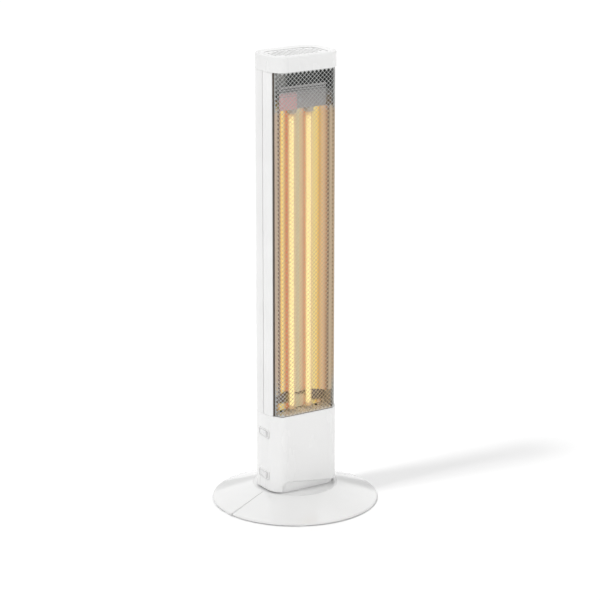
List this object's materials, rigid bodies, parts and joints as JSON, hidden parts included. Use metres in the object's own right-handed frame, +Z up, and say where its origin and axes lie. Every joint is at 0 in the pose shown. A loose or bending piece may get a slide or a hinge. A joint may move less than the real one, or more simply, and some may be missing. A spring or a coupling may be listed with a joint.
{
  "type": "radiant tower heater",
  "caption": "Slim white oscillating tower heater: upright radiant lamps and reflector behind a perforated grille, side rocker switches, round base.",
  "frame": {"origin": "on the floor under the tower's swing axis, at the middle of the round base", "axes": "+Z up, the grille faces -Y, +X to the right seen from the front"},
  "size_m": [0.242, 0.242, 0.665],
  "materials": {
    "white_plastic": "gloss white moulding",
    "inner_plastic": "plain moulding",
    "ballast_steel": "dark painted steel",
    "foot_rubber": "grey rubber",
    "zinc": "zinc-plated steel",
    "black_plastic": "black moulding",
    "red_plastic": "red moulding",
    "acetal": "natural acetal",
    "motor_can": "plated steel can",
    "grille_metal": "grey perforated steel",
    "polished_sheet": "polished aluminium",
    "plain_sheet": "plain sheet",
    "quartz": "clear quartz tube",
    "heating_coil": "glowing element",
    "ceramic": "unglazed ceramic",
    "wire_cover": "silicone-covered wire",
    "switch_plastic": "gloss white switch"
  },
  "bodies": {
    "base": {"base_front_half": "white_plastic", "base_rear_half": "white_plastic", "ballast_plate": "ballast_steel", "rubber_feet": "foot_rubber", "base_screws": "zinc", "swivel_socket": "inner_plastic", "drive_yoke": "zinc", "tilt_switch": "black_plastic"},
    "tower": {"turntable": "white_plastic", "thrust_washer": "acetal", "retaining_ring": "zinc", "neck": "white_plastic", "swing_motor": "motor_can", "lower_housing": "white_plastic", "rear_cover": "white_plastic", "left_side_trim": "white_plastic", "right_side_trim": "white_plastic", "top_cap": "white_plastic", "top_vent": "white_plastic", "front_grille": "grille_metal", "heat_shield": "plain_sheet", "reflector": "polished_sheet", "lower_lamp_bracket": "zinc", "upper_lamp_bracket": "zinc", "left_lamp_tube": "quartz", "right_lamp_tube": "quartz", "left_filament": "heating_coil", "right_filament": "heating_coil", "lamp_end_caps": "ceramic", "thermal_cutout": "zinc", "terminal_block": "acetal", "lamp_leads": "wire_cover", "cord_plate": "white_plastic", "cable_gland": "black_plastic", "upper_switch": "switch_plastic", "lower_switch": "switch_plastic", "housing_screws": "zinc"},
    "crank": {"crank_arm": "zinc", "crank_roller": "acetal"},
    "upper_rocker": {"upper_rocker": "switch_plastic"},
    "lower_rocker": {"lower_rocker": "switch_plastic"},
    "tilt_plunger": {"tilt_plunger": "red_plastic"}
  },
  "joints": [
    {"name": "tower_swing", "type": "hinge", "parent": "base", "child": "tower", "pos_m": [0, 0, 0.015], "axis": [0, 0, 1], "range_deg": [-30, 30]},
    {"name": "crank_turn", "type": "hinge", "parent": "tower", "child": "crank", "pos_m": [0.031, 0, 0.018], "axis": [0, 0, 1], "range_deg": [-90, 90]},
    {"name": "upper_rocker_press", "type": "hinge", "parent": "tower", "child": "upper_rocker", "pos_m": [-0.054, -0.00508, 0.1125], "axis": [0, 0, 1], "range_deg": [0, 18]},
    {"name": "lower_rocker_press", "type": "hinge", "parent": "tower", "child": "lower_rocker", "pos_m": [-0.054, -0.00508, 0.0495], "axis": [0, 0, 1], "range_deg": [0, 18]},
    {"name": "tilt_plunger_slide", "type": "slide", "parent": "base", "child": "tilt_plunger", "axis": [0, 0, -1], "range_m": [0, 0.004], "stiffness_N_per_m": 60, "springref_m": 0.006}
  ],
  "couplings": [
    {"joint": "crank_turn", "follows": "tower_swing", "ratio": -3}
  ]
}
